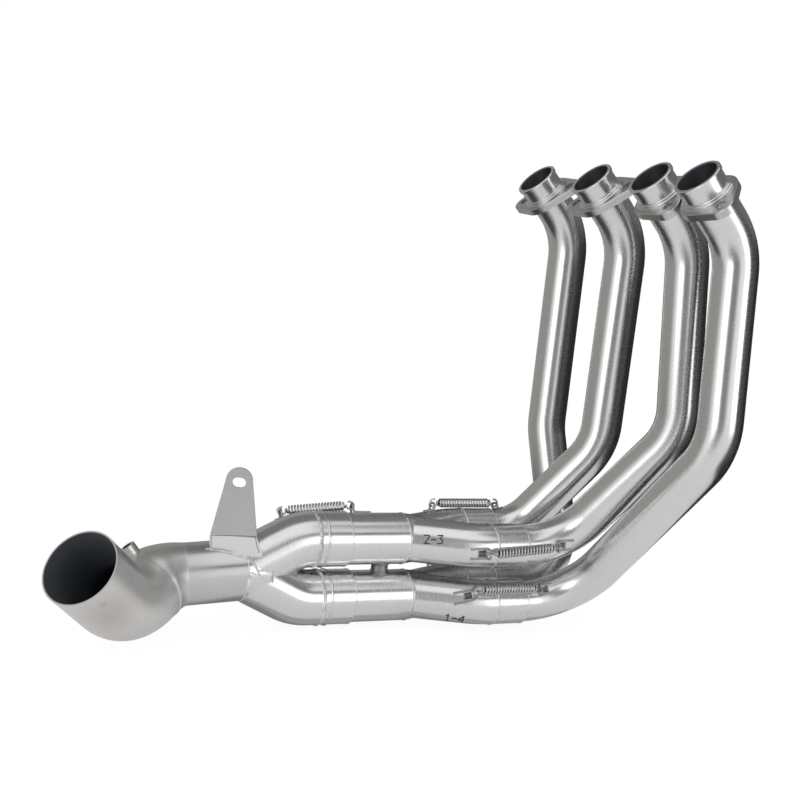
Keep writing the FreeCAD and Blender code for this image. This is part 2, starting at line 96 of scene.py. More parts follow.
# Brown heat smears on the elbow: spot in the picture, reach in mm, strength, colour
SMEARS = [
    ((112.0, 614.0), 38.0, 0.60, (0.555, 0.51, 0.46, 1.0)),
    ((103.0, 605.0), 6.0, 0.40, (0.45, 0.40, 0.345, 1.0)),
]

# Pipe radii at the welds
SLEEVE_R = 21.45
SLEEVE_LENGTH = 34.0
SECONDARY_R = 24.4
COLLECTOR_SLEEVE_R = 25.85
COLLECTOR_SLEEVE_LENGTH = 32.0
OUTLET_R = 28.0

# Weld beads: radius of the bead, and how far its middle lies below the skin of the pipe
BEADS = {
    "sleeve": (1.5, 0.8),
    "sleeve_rim": (0.55, 0.2),
    "mouth": (1.2, 0.7),
    "collector": (2.9, 2.0),
    "collector_rim": (0.6, 0.2),
    "outlet": (1.4, 0.8),
    "elbow": (0.9, 0.7),
}
FAR_PINCH_BEAD = 0.6
BRACKET_BEAD = 1.2
RIPPLE_LENGTH = 1.9
STEPS_IN_RIPPLE = 4
RIM_INSET = 0.6

# Spots from which two more seams are looked for: the first, the spacing and their number
FAR_PINCH_X = (-312.0, 1.6, 24)
FAR_PINCH_OFF = 60.0
BRACKET_SEAM = (-21.5, 1.0, 52)
BRACKET_SEAM_OFF = 2.0

# Seams on the rear merge along lines that the picture shows, in pixels, and their beads
PINCH_SEAMS = [
    ([(243.5, 556), (245.5, 563), (246.5, 571)], 0.75),
    ([(246.5, 571), (254, 573.5), (263, 577.5)], 0.75),
    ([(249.5, 574), (250.5, 580), (248, 588)], 0.75),
    ([(257, 570.5), (266, 571.5), (272.4, 573), (272.6, 583)], 1.15),
]

# Springs: wire, coil, and the open loop at each end. Shade starts a little inside the coil's
# middle line and is full a little further in.
WIRE_R = 0.95
COIL_R = 3.85
LOOP_R = 3.8
HOOK_WIRE_R = 1.1
HOOK_GAP = 0.3
COIL_TURNS = 20
STEPS_IN_TURN = 20
SPRING_TAPER = 4.0
COIL_SHADE = (0.1, 0.7)
LOOP_SWEEP = 288.0
LOOP_STEPS = 30
BAR_SIDES = 8

# Pipe axis (y, z), then rear and front hook bar as x, angle round the pipe, distance from it
SPRINGS = {
    "joint_spring_1": ((73.0, -417.0), (-95.0, 40.0, 27.2), (-24.0, 40.0, 27.2)),
    "joint_spring_2": ((73.0, -361.0), (-108.6, 85.0, 26.9), (-34.5, 78.0, 26.9)),
    "joint_spring_3": ((11.0, -361.0), (-88.9, 181.5, 27.1), (-15.0, 167.5, 31.2)),
    "joint_spring_4": ((11.0, -417.0), (-94.0, 137.0, 27.0), (-22.8, 136.0, 27.0)),
    "collector_spring_upper": ((42.0, -361.0), (-271.0, 37.5, 32.8), (-203.5, 59.5, 32.8)),
    "collector_spring_lower": ((42.0, -417.0), (-262.0, -20.0, 32.2), (-194.5, -20.0, 32.2)),
}

# Painted shade between the feet of a hook: a grid of spots from just beyond its bar, dropped on
# the pipe from above, and laid a little off its skin
SHADE_PATCH_ROWS = 9
SHADE_PATCH_COLUMNS = 7
SHADE_PATCH_STEP = (0.95, 1.05)
SHADE_PATCH_START = 1.5
SHADE_PATCH_DROP = 6.0
SHADE_PATCH_REACH = 30.0
SHADE_PATCH_LIFT = 0.07
SHADE_PATCH_NODES = ("merge", "primary_tube", "secondary", "slip", "collector_body", "collector_sleeve")

# Cylinder marks: signs, node, corner of the first sign, step to the next, width and height of
# a sign, all in the picture's pixels. A pen is half the width of a stroke, in pixels too.
MARKS = {
    "mark_upper": ("2-3", "merge_2_3", (424.2, 543.4), (6.7, 0.1), (5.4, 0.1), (0.2, -8.2)),
    "mark_lower": ("1-4", "merge_1_4", (444.9, 620.4), (6.3, 0.7), (5.0, 0.6), (1.6, -6.2)),
}
MARK_PEN = 0.62
FOLD_SHADE_PEN = 0.28
STROKE_STEP = 0.8
STROKE_LIFT = 0.06
# Painted shade along the bracket's fold and down the two edges of its foot, in the picture's
# pixels
FOLD_SHADE_LINES = [
    [(210.5, 535.2), (233, 535.8), (255.6, 536.4)],
    [(255.2, 537), (256.8, 545), (259, 553)],
    [(211.0, 536), (211.3, 546)],
]

# Finishes: colour, roughness, fineness and depth of the brush lines, and the tone of the
# painted shade inside the bore. Most are named as the material slots of the solids are.
FINISHES = {
    "brushed_tube": ((0.80, 0.798, 0.797), 0.21, 1900.0, 0.016, 0.03),
    "turned_steel": ((0.78, 0.775, 0.77), 0.19, 2400.0, 0.05, 0.13),
    "machined_plate": ((0.62, 0.62, 0.615), 0.26, 1500.0, 0.08, 0.035),
    "outlet_finish": ((0.66, 0.66, 0.665), 0.20, 1900.0, 0.045, 0.15),
    "satin_casting": ((0.34, 0.34, 0.345), 0.42, 600.0, 0.10, 0.02),
    "satin_elbow": ((0.755, 0.745, 0.73), 0.38, 700.0, 0.06, 0.15),
    "bracket_sheet": ((0.69, 0.69, 0.69), 0.44, 900.0, 0.08, 0.02),
}
ROUND_FINENESS = 28.0
BUMP_HEIGHT = 0.0002
ANISOTROPY = 0.55
# Painted light: the colour of the bracket's folded foot is raised by this factor
FLAP_PAINTED_LIGHT = 1.45

# The outlet tube's roughness rises over this run, in metres, before the elbow
OUTLET_SATIN = 0.18
SATIN_RUN = (0.022, 0.056)

# The stage is in metres, apart from its centre
STAGE_CENTRE = Vector((-200, -10, -230))
WORLD_LIGHT = 0.75
STAGE_SIZE = 8.0
CARD_DISTANCE = 3.0

# The floor: its glow, and the glow's share for the camera and for mirrored rays
FLOOR_COLOUR = (0.85, 0.852, 0.862, 1)
FLOOR_GLOW = 1.08
FLOOR_SEEN = 0.86
FLOOR_MIRRORED = 0.24
FLOOR_GAP = 0.0005

# Cards round the object that only reflections see: tone, from and to in degrees to the
# camera's right, lowest and highest angle, and the width of the soft edges in degrees
CARDS = {
    "card_left": ((0.34, 0.335, 0.32), -180, -66, -8, 42, 22),
    "card_middle": ((0.22, 0.22, 0.23), -27, 14, -8, 42, 14),
    "card_right": ((0.022, 0.022, 0.024), 66, 180, -8, 14, 4),
    "card_behind": ((0.16, 0.16, 0.165), 66, 180, 14, 62, 0),
    "card_brow": ((0.10, 0.10, 0.11), 15, 66, 25, 36, 0),
}

# The ground at the foot of the cards: tone, from, to, soft edges, and where it starts
GROUNDS = {
    "ground_left": ((0.34, 0.335, 0.32), -180, -66, 22, 0.55),
    "ground_middle": ((0.22, 0.22, 0.23), -27, 14, 14, 0.55),
    "ground_right": ((0.022, 0.022, 0.024), 66, 180, 4, 0.42),
}

# The shaded ground under the pipes: tone, its front edge, and its height over the lowest point
SHADED_GROUNDS = {
    "ground_under_1": ((0.38, 0.38, 0.383), 0.018, 0.0003),
    "ground_under_2": ((0.24, 0.24, 0.243), 0.030, 0.0006),
}
CEILING_TONE = (0.20, 0.20, 0.20)
CEILING_RISE = 40.0
# Tone of the dark sheet that stands for the shade on the ground behind the pipes
BEHIND_TONE = (0.05, 0.05, 0.052)

# The upright dark card to the right of P4: its two edges, bottom and top
SHADE_EDGES = ((0.19, -0.347), (0.40, -0.23))
SHADE_HEIGHTS = (-0.43, 0.06)
SHADE_TONE = (0.06, 0.06, 0.062)

# Soft lamps: degrees to the camera's right, rise, width
LAMPS = {
    "key": (-34, 6, 1.2),
    "fill": (57, 4, 1.3),
}
LAMP_HEIGHT = 1.4
LAMP_DISTANCE = 2.6
LAMP_POWER = 10.0


def port_axis():
    return Vector((-math.sin(PORT_LEAN), 0, math.cos(PORT_LEAN)))


def camera_axes():
    ahead = Vector((
        math.sin(CAMERA_YAW) * math.cos(CAMERA_PITCH),
        math.cos(CAMERA_YAW) * math.cos(CAMERA_PITCH),
        -math.sin(CAMERA_PITCH),
    ))
    right = Vector((math.cos(CAMERA_YAW), -math.sin(CAMERA_YAW), 0))
    up = right.cross(ahead)
    c, s = math.cos(CAMERA_ROLL), math.sin(CAMERA_ROLL)
    return right * c + up * s, up * c - right * s, ahead


def picture_ray(spot):
    """The direction in which the camera sees a spot of its picture."""
    right, up, ahead = camera_axes()
    middle = PHOTO_PIXELS / 2.0
    ray = ahead * FOCAL_PIXELS + right * (spot[0] - middle) - up * (spot[1] - middle)
    return ray.normalized()


# Centre lines
def bent_line(corners, radii, step=2.0):
    """Points along straight runs joined by true arcs."""
    points = [corners[0].copy()]
    for index, radius in enumerate(radii):
        before, corner, after = corners[index:index + 3]
        incoming = (corner - before).normalized()
        outgoing = (after - corner).normalized()
        half = incoming.angle(outgoing) / 2.0
        setback = radius * math.tan(half)
        hub = corner + (outgoing - incoming).normalized() * radius / math.cos(half)
        arm = corner - incoming * setback - hub
        axis = incoming.cross(outgoing).normalized()
        count = max(6, int(2 * half * radius / step))
        for i in range(count + 1):
            turn = Matrix.Rotation(2 * half * i / count, 3, axis)
            points.append(hub + turn @ arm)
    points.append(corners[-1].copy())
    return points


def primary_line(number):
    axis = port_axis()
    mouth = Vector((0, PORT_Y[number], 0))
    corners = [
        mouth - axis * COLLAR_LENGTH,
        mouth - axis * PORT_STRAIGHT[number],
        Vector(KNEE[number]),
        Vector((HEEL_X[number], LEG_Y[number], LEG_Z[number])),
        Vector((JOINT_X[number] + 4, LEG_Y[number], LEG_Z[number])),
    ]
    return bent_line(corners, BEND_R[number])


def port_line(number):
    mouth = Vector((0, PORT_Y[number], 0))
    return [mouth, mouth - port_axis() * 30]


def level_line(y, z):
    return [Vector((60, y, z)), Vector((-330, y, z))]


def outlet_line():
    return bent_line([OUTLET] + ELBOW_CORNERS, ELBOW_BEND_R)


def node_lines():
    """The centre line that each node's brush marks run round."""
    lines = {}
    for n in (1, 2, 3, 4):
        lines["primary_tube_%d" % n] = primary_line(n)
        lines["port_collar_%d" % n] = port_line(n)
        lines["port_flange_%d" % n] = port_line(n)
        lines["slip_sleeve_%d" % n] = level_line(LEG_Y[n], LEG_Z[n])
    for name, (x, z) in MOUTH.items():
        lines["secondary_tube_" + name] = level_line(PIPE_Y, z)
        lines["collector_sleeve_" + name] = level_line(PIPE_Y, z)
    lines["merge_2_3"] = level_line(PIPE_Y, MOUTH["upper"][1])
    lines["merge_1_4"] = level_line(PIPE_Y, MOUTH["lower"][1])
    lines["collector_body"] = level_line(PIPE_Y, OUTLET.z)
    lines["outlet_tube"] = outlet_line()
    lines["outlet_elbow"] = outlet_line()
    lines["cross_tube"] = [Vector((CROSS_X, PIPE_Y, -420)), Vector((CROSS_X, PIPE_Y, -358))]
    lines["sensor_bung"] = [BUNG_SPOT, BUNG_SPOT + BUNG_AXIS * 50]
    lines["mounting_bracket"] = [BRACKET_FOOT + Vector((0, 0, z)) for z in (58, -42)]
    return lines


def sampled(line, step=2.0):
    """Even samples of a line, with the distance run and the heading at each."""
    places, runs, headings = [], [], []
    run = 0.0
    for a, b in zip(line, line[1:]):
        length = (b - a).length
        if length < 1e-6:
            continue
        count = max(1, int(length / step))
        for i in range(count):
            places.append(a.lerp(b, i / count))
            runs.append(run + length * i / count)
            headings.append((b - a).normalized())
        run += length
    return np.array(places), np.array(runs), np.array(headings)


def lay_grain(obj, line, hollow):
    """Stores where each vertex lies along the pipe, and which faces line its bore."""
    mesh = obj.data
    places, runs, headings = sampled(line)
    co = np.empty(len(mesh.vertices) * 3)
    mesh.vertices.foreach_get("co", co)
    co = co.reshape(-1, 3) / MM
    nearest = np.empty(len(co), int)
    for start in range(0, len(co), 2000):
        block = co[start:start + 2000]
        gap = ((block[:, None, :] - places[None]) ** 2).sum(2)
        nearest[start:start + 2000] = gap.argmin(1)
    heading = headings[nearest]
    run = runs[nearest] + ((co - places[nearest]) * heading).sum(1)
    layer = mesh.attributes.new("run", "FLOAT", "POINT")
    layer.data.foreach_set("value", (run * MM).astype(np.float32))
    layer = mesh.attributes.new("heading", "FLOAT_VECTOR", "POINT")
    layer.data.foreach_set("vector", heading.astype(np.float32).ravel())
    inner = mesh.attributes.new("inner", "FLOAT", "FACE")
    for polygon in mesh.polygons:
        corner = polygon.vertices[0]
        arm = co[corner] - places[nearest[corner]]
        arm -= heading[corner] * arm.dot(heading[corner])
        size = np.linalg.norm(arm)
        facing = arm.dot(np.array(polygon.normal)) / max(size, 1e-6)
        inner.data[polygon.index].value = 1.0 if hollow and facing < -0.6 else 0.0


def mark_flap(obj):
    """Marks the folded foot of the bracket, where painted light makes the colour lighter."""
    layer = obj.data.attributes.new("fold", "FLOAT", "FACE")
    for polygon in obj.data.polygons:
        layer.data[polygon.index].value = 1.0 if polygon.center.z < FOLD_Z * MM else 0.0


# Materials
def new_material(name):
    material = bpy.data.materials.new(name)
    material.use_nodes = True
    tree = material.node_tree
    return material, tree, tree.nodes["Principled BSDF"]


def add(tree, kind, inputs=None, **settings):
    node = tree.nodes.new(kind)
    for key, value in settings.items():
        setattr(node, key, value)
    for key, value in (inputs or {}).items():
        if isinstance(value, bpy.types.NodeSocket):
            tree.links.new(value, node.inputs[key])
        else:
            node.inputs[key].default_value = value
    return node


def math_node(tree, operation, a, b, c=0.0):
    return add(tree, "ShaderNodeMath", {0: a, 1: b, 2: c}, operation=operation).outputs[0]


def brush_lines(tree, fineness):
    """Noise drawn out round the pipe: it changes fast along the run and slowly round it."""
    run = add(tree, "ShaderNodeAttribute", attribute_name="run").outputs["Fac"]
    place = add(tree, "ShaderNodeTexCoord").outputs["Object"]
    apart = add(tree, "ShaderNodeSeparateXYZ", {0: place})
    across = math_node(tree, "ADD", apart.outputs[0], apart.outputs[1])
    long = math_node(tree, "MULTIPLY", run, fineness)
    slow_1 = math_node(tree, "MULTIPLY", across, ROUND_FINENESS)
    slow_2 = math_node(tree, "MULTIPLY", apart.outputs[2], ROUND_FINENESS)
    vector = add(tree, "ShaderNodeCombineXYZ", {0: long, 1: slow_1, 2: slow_2}).outputs[0]
    lines = add(tree, "ShaderNodeTexNoise", {"Vector": vector, "Scale": 1.0, "Detail": 4.0,
                                             "Roughness": 0.62})
    return lines.outputs["Fac"], place


def mixed(tree, factor, a, b):
    node = add(tree, "ShaderNodeMix", {"Factor": factor}, data_type="RGBA")
    for index, value in ((6, a), (7, b)):
        if isinstance(value, bpy.types.NodeSocket):
            tree.links.new(value, node.inputs[index])
        else:
            node.inputs[index].default_value = value
    return node.outputs[2]


def shade(colour, by):
    return tuple(min(1.0, c * by) for c in colour) + (1.0,)


def steel(name, colour, roughness, fineness, depth, bore_shade):
    """Brushed steel with grain, handling marks, and painted shade on the faces that look
    inwards.
    The outlet gains roughness towards the elbow."""
    satin = OUTLET_SATIN if name == "outlet_finish" else 0.0
    material, tree, shader = new_material(name)
    lines, place = brush_lines(tree, fineness)
    cloud = add(tree, "ShaderNodeTexNoise", {"Vector": place, "Scale": 26.0, "Detail": 3.0,
                                             "Roughness": 0.55}).outputs["Fac"]
    speck = add(tree, "ShaderNodeTexNoise", {"Vector": place, "Scale": 420.0, "Detail": 2.0,
                                             "Roughness": 0.5}).outputs["Fac"]
    inner = add(tree, "ShaderNodeAttribute", attribute_name="inner").outputs["Fac"]
    tone = mixed(tree, lines, shade(colour, 0.90), shade(colour, 1.08))
    tone = mixed(tree, math_node(tree, "MULTIPLY", cloud, 0.35), tone, shade(colour, 0.86))
    if name == "satin_elbow":
        tone = smeared(tree, place, tone)
    # Painted shade: a near-black tone on the faces that line the bore
    tone = mixed(tree, inner, tone, (bore_shade * 0.9, bore_shade * 0.97, bore_shade * 1.1, 1.0))
    # Painted light: the bracket's folded foot is lighter
    fold = add(tree, "ShaderNodeAttribute", attribute_name="fold").outputs["Fac"]
    tone = mixed(tree, fold, tone, shade(colour, FLAP_PAINTED_LIGHT))
    tree.links.new(tone, shader.inputs["Base Color"])
    rough = math_node(tree, "MULTIPLY_ADD", cloud, 0.10, roughness - 0.05)
    rough = math_node(tree, "MULTIPLY_ADD", lines, 0.10, rough)
    rough = math_node(tree, "MULTIPLY_ADD", inner, 0.35, rough)
    run = add(tree, "ShaderNodeAttribute", attribute_name="run").outputs["Fac"]
    near_elbow = add(tree, "ShaderNodeMapRange",
                     {0: run, 1: SATIN_RUN[0], 2: SATIN_RUN[1], 3: 0.0, 4: satin})
    rough = math_node(tree, "ADD", rough, near_elbow.outputs[0])
    tree.links.new(rough, shader.inputs["Roughness"])
    height = math_node(tree, "MULTIPLY_ADD", speck, 0.25, lines)
    bump = add(tree, "ShaderNodeBump", {"Strength": depth, "Distance": BUMP_HEIGHT,
                                        "Height": height})
    tree.links.new(bump.outputs[0], shader.inputs["Normal"])
    heading = add(tree, "ShaderNodeAttribute", attribute_name="heading").outputs["Vector"]
    tree.links.new(heading, shader.inputs["Tangent"])
    shader.inputs["Metallic"].default_value = 1.0
    shader.inputs["Anisotropic"].default_value = ANISOTROPY
    return material


def smeared(tree, place, tone):
    """Brown heat smears where the picture shows them on the elbow."""
    surface = skin("outlet_elbow")
    for spot, reach, strength, brown in SMEARS:
        hit = surface.ray_cast(CAMERA_PLACE, picture_ray(spot))[0]
        apart = add(tree, "ShaderNodeVectorMath", {0: place, 1: hit * MM}, operation="DISTANCE")
        near = add(tree, "ShaderNodeMapRange",
                   {0: apart.outputs["Value"], 1: 0.0, 2: reach * MM, 3: strength, 4: 0.0},
                   interpolation_type="SMOOTHSTEP")
        tone = mixed(tree, near.outputs[0], tone, brown)
    return tone


def wire_steel(name, dark, pale):
    """Drawn wire with painted shade: near black where the attribute says that it faces into the
    coil.
    """
    material, tree, shader = new_material(name)
    place = add(tree, "ShaderNodeTexCoord").outputs["Object"]
    drawn = add(tree, "ShaderNodeTexNoise", {"Vector": place, "Scale": 900.0, "Detail": 3.0})
    tone = mixed(tree, drawn.outputs["Fac"], (dark, dark, dark, 1), (pale, pale, pale, 1))
    inner = add(tree, "ShaderNodeAttribute", attribute_name="inner").outputs["Fac"]
    tone = mixed(tree, inner, tone, (0.05, 0.05, 0.05, 1))
    tree.links.new(tone, shader.inputs["Base Color"])
    rough = math_node(tree, "MULTIPLY_ADD", drawn.outputs["Fac"], 0.15, 0.18)
    tree.links.new(rough, shader.inputs["Roughness"])
    bump = add(tree, "ShaderNodeBump", {"Strength": 0.15, "Distance": 0.0001,
                                        "Height": drawn.outputs["Fac"]})
    tree.links.new(bump.outputs[0], shader.inputs["Normal"])
    shader.inputs["Metallic"].default_value = 1.0
    return material


def weld_metal():
    """Bead metal: brighter ripples with a faint straw and blue heat tint."""
    material, tree, shader = new_material("weld_bead")
    place = add(tree, "ShaderNodeTexCoord").outputs["Object"]
    spots = add(tree, "ShaderNodeTexNoise", {"Vector": place, "Scale": 160.0, "Detail": 3.0})
    ramp = add(tree, "ShaderNodeValToRGB", {"Fac": spots.outputs["Fac"]})
    ramp.color_ramp.elements[0].position = 0.35
    ramp.color_ramp.elements[0].color = (0.60, 0.60, 0.63, 1)
    ramp.color_ramp.elements[1].position = 0.62
    ramp.color_ramp.elements[1].color = (0.92, 0.91, 0.88, 1)
    tree.links.new(ramp.outputs[0], shader.inputs["Base Color"])
    rough = math_node(tree, "MULTIPLY_ADD", spots.outputs["Fac"], 0.2, 0.28)
    tree.links.new(rough, shader.inputs["Roughness"])
    bump = add(tree, "ShaderNodeBump", {"Strength": 0.6, "Distance": 0.0004,
                                        "Height": spots.outputs["Fac"]})
    tree.links.new(bump.outputs[0], shader.inputs["Normal"])
    shader.inputs["Metallic"].default_value = 1.0
    return material


def etched_black():
    """Dark etched marks, a little uneven as electrolytic marking is."""
    material, tree, shader = new_material("etched_mark")
    place = add(tree, "ShaderNodeTexCoord").outputs["Object"]
    spots = add(tree, "ShaderNodeTexNoise", {"Vector": place, "Scale": 1500.0, "Detail": 2.0})
    tone = mixed(tree, spots.outputs["Fac"], (0.01, 0.01, 0.01, 1), (0.05, 0.05, 0.05, 1))
    tree.links.new(tone, shader.inputs["Base Color"])
    rough = math_node(tree, "MULTIPLY_ADD", spots.outputs["Fac"], 0.2, 0.45)
    tree.links.new(rough, shader.inputs["Roughness"])
    return material


# Pieces made here
def piece(name, mesh, material):
    obj = bpy.data.objects.new(name, mesh)
    bpy.context.scene.collection.objects.link(obj)
    mesh.materials.append(material)
    for polygon in mesh.polygons:
        polygon.use_smooth = True
    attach(obj, "root")
    return obj


def swept_mesh(name, points, radii, closed=False):
    """A round bar along points, with its own radius at each."""
    sides = BAR_SIDES
    count = len(points)
    headings = []
    for i in range(count):
        a = points[(i - 1) % count] if closed or i else points[0]
        b = points[(i + 1) % count] if closed or i < count - 1 else points[-1]
        headings.append((b - a).normalized())
    side = headings[0].orthogonal().normalized()
    vertices, faces = [], []
    for i, (point, heading, radius) in enumerate(zip(points, headings, radii)):
        side = (side - heading * side.dot(heading)).normalized()
        up = heading.cross(side)
        for k in range(sides):
            angle = math.tau * k / sides
            arm = side * math.cos(angle) + up * math.sin(angle)
            vertices.append((point + arm * radius) * MM)
        if i:
            ring_faces(faces, (i - 1) * sides, i * sides, sides)
    if closed:
        shift = closing_shift(vertices, sides)
        ring_faces(faces, (count - 1) * sides, 0, sides, shift)
    else:
        faces.append(list(range(sides))[::-1])
        faces.append([(count - 1) * sides + k for k in range(sides)])
    mesh = bpy.data.meshes.new(name)
    mesh.from_pydata(vertices, [], faces)
    mesh.update()
    return mesh


def ring_faces(faces, a, b, sides, shift=0):
    for k in range(sides):
        j = (k + 1) % sides
        faces.append([a + k, a + j, b + (j + shift) % sides, b + (k + shift) % sides])


def closing_shift(vertices, sides):
    last = vertices[-sides]
    return min(range(sides), key=lambda k: (vertices[k] - last).length)


def weld_ring(name, centre, axis, radius, seam, material):
    """A bead with the small overlapping ripples of a hand-laid seam."""
    bead, sunk = BEADS[seam]
    side = axis.orthogonal().normalized()
    up = axis.cross(side).normalized()
    count = int(math.tau * radius / RIPPLE_LENGTH) * STEPS_IN_RIPPLE
    wander = random.Random(name)
    points, radii = [], []
    for i in range(count):
        angle = math.tau * i / count
        arm = side * math.cos(angle) + up * math.sin(angle)
        drift = axis * wander.uniform(-0.1, 0.1) * bead
        points.append(centre + arm * (radius - sunk) + drift)
        radii.append(bead * (0.82 + 0.22 * abs(math.sin(math.pi * i / STEPS_IN_RIPPLE))))
    mesh = swept_mesh(name, points, radii, closed=True)
    return piece(name, mesh, material)


def weld_line(name, points, bead, material):
    """A rippled bead along a line of points on a skin."""
    dense = []
    for a, b in zip(points, points[1:]):
        count = max(1, int((b - a).length / 0.5))
        dense += [a.lerp(b, i / count) for i in range(count)]
    dense.append(points[-1])
    radii = [bead * (0.85 + 0.17 * abs(math.sin(math.pi * i / STEPS_IN_RIPPLE)))
             for i in range(len(dense))]
    return piece(name, swept_mesh(name, dense, radii), material)


def skin(node):
    """A searchable copy of a node's surface, for placing things on it."""
    obj = frame["nodes"][node]
    co = [v.co / MM for v in obj.data.vertices]
    return BVHTree.FromPolygons(co, [list(p.vertices) for p in obj.data.polygons])


def spring_ends(node):
    """Both hook bars, and the way out from the pipe square to the spring."""
    (y, z), rear_end, front_end = SPRINGS[node]
    bars = []
    for x, angle, distance in (rear_end, front_end):
        a = math.radians(angle)
        bars.append(Vector((x, y + math.cos(a) * distance, z + math.sin(a) * distance)))
    rear, front = bars
    ahead = (front - rear).normalized()
    middle = (rear + front) / 2.0
    out = Vector((0, middle.y - y, middle.z - z))
    return rear, front, (out - ahead * out.dot(ahead)).normalized()


def loop_points(tip, inward, out):
    """The open end loop, from the coil under the bar and back over it."""
    centre = tip + inward * (LOOP_R - HOOK_WIRE_R - WIRE_R - HOOK_GAP)
    points = []
    for i in range(LOOP_STEPS + 1):
        angle = -math.radians(LOOP_SWEEP * i / LOOP_STEPS)
        points.append(centre + (inward * math.cos(angle) + out * math.sin(angle)) * LOOP_R)
    return points


def spring_points(node):
    """One wire: end loop, tapering first turns, coil, last turns, end loop."""
    rear, front, out = spring_ends(node)
    ahead = (front - rear).normalized()
    across = ahead.cross(out)
    rear_loop = loop_points(rear, ahead, out)
    front_loop = loop_points(front, ahead * -1, out)
    start, end = rear_loop[0], front_loop[0]
    length = (end - start).length
    coil = []
    steps = COIL_TURNS * STEPS_IN_TURN
    for i in range(1, steps):
        share = i / steps
        inside = min(share, 1 - share) * length
        radius = WIRE_R + (COIL_R - WIRE_R) * min(1.0, inside / SPRING_TAPER)
        angle = math.tau * COIL_TURNS * share
        arm = out * math.sin(angle) + across * math.cos(angle)
        coil.append(start.lerp(end, share) + arm * radius)
    return rear_loop[::-1] + coil + front_loop


def wind_springs(material):
    for node in SPRINGS:
        points = spring_points(node)
        mesh = swept_mesh(node + "_wire", points, [WIRE_R] * len(points))
        shade_coil(mesh, node)
        coil = piece(node + "_wire", mesh, material)
        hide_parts(node)


def shade_coil(mesh, node):
    """Marks the side of the wire that faces the inside of the coil."""
    rear, front, out = spring_ends(node)
    ahead = (front - rear).normalized()
    layer = mesh.attributes.new("inner", "FLOAT", "POINT")
    for vertex in mesh.vertices:
        arm = vertex.co / MM - rear
        run = arm.dot(ahead)
        arm -= ahead * run
        length = (front - rear).length
        within = LOOP_R + SPRING_TAPER < run < length - LOOP_R - SPRING_TAPER
        deep = max(0.0, min(1.0, (COIL_R - arm.length - COIL_SHADE[0]) / COIL_SHADE[1]))
        layer.data[vertex.index].value = deep if within else 0.0


def lay_hook_shade(material):
    """Painted shade on the pipe between the feet of each spring hook."""
    trees = [skin(node) for node in frame["nodes"] if node.startswith(SHADE_PATCH_NODES)]
    for node in SPRINGS:
        rear, front, out = spring_ends(node)
        for side, bar, way in (("rear", rear, -1), ("front", front, 1)):
            ahead = (front - rear).normalized() * way
            paint_shade_patch("hook_shade_" + node + "_" + side, trees, bar, ahead, out, material)


def paint_shade_patch(name, trees, bar, ahead, out, material):
    """One patch of painted shade: a grid dropped on the pipes, without the cells that miss
    them.
    """
    across = ahead.cross(out)
    middle = (SHADE_PATCH_COLUMNS - 1) // 2
    vertices, faces = [], []
    for i in range(SHADE_PATCH_ROWS):
        for k in range(SHADE_PATCH_COLUMNS):
            run = ahead * (SHADE_PATCH_START + SHADE_PATCH_STEP[0] * i)
            spot = bar + run + across * (k - middle) * SHADE_PATCH_STEP[1] + out * SHADE_PATCH_DROP
            vertices.append(nearest_hit(trees, spot, -out))
    for i in range(SHADE_PATCH_ROWS - 1):
        for k in range(SHADE_PATCH_COLUMNS - 1):
            first = SHADE_PATCH_COLUMNS * i + k
            behind = first + SHADE_PATCH_COLUMNS
            corners = [first, first + 1, behind + 1, behind]
            if all(vertices[c] is not None for c in corners):
                faces.append(corners)
    if not faces:
        return
    used = sorted({c for face in faces for c in face})
    place = {c: j for j, c in enumerate(used)}
    mesh = bpy.data.meshes.new(name)
    mesh.from_pydata([vertices[c] * MM for c in used], [],
                     [[place[c] for c in face] for face in faces])
    mesh.update()
    # Painted shade is paler along the middle of the patch and towards its far end
    layer = mesh.attributes.new("pale", "FLOAT", "POINT")
    for j, c in enumerate(used):
        i, k = divmod(c, SHADE_PATCH_COLUMNS)
        core = 1.0 - (abs(k - middle) / middle) ** 2
        fade = max(0.0, (i - SHADE_PATCH_ROWS + 3) / 2.0)
        layer.data[j].value = 0.22 * core ** 2 + 0.4 * fade
    piece(name, mesh, material)


def nearest_hit(trees, start, heading):
    """The first skin that a ray meets, a little in front of it, or None."""
    best, reach = None, SHADE_PATCH_REACH
    for tree in trees:
        hit, _, _, distance = tree.ray_cast(start, heading, reach)
        if hit is not None:
            best, reach = hit - heading * SHADE_PATCH_LIFT, distance
    return best


def painted_shade_material():
    """Blue-grey painted shade in patches, darkest beside the wires of a hook."""
    material, tree, shader = new_material("painted_shade")
    place = add(tree, "ShaderNodeTexCoord").outputs["Object"]
    spots = add(tree, "ShaderNodeTexNoise", {"Vector": place, "Scale": 260.0, "Detail": 3.0})
    pale = add(tree, "ShaderNodeAttribute", attribute_name="pale").outputs["Fac"]
    pale = math_node(tree, "MULTIPLY_ADD", spots.outputs["Fac"], 0.16, pale)
    tone = mixed(tree, pale, (0.02, 0.02, 0.022, 1), (0.56, 0.55, 0.54, 1))
    tree.links.new(tone, shader.inputs["Base Color"])
    rough = math_node(tree, "MULTIPLY_ADD", spots.outputs["Fac"], 0.2, 0.3)
    tree.links.new(rough, shader.inputs["Roughness"])
    shader.inputs["Metallic"].default_value = 1.0
    return material


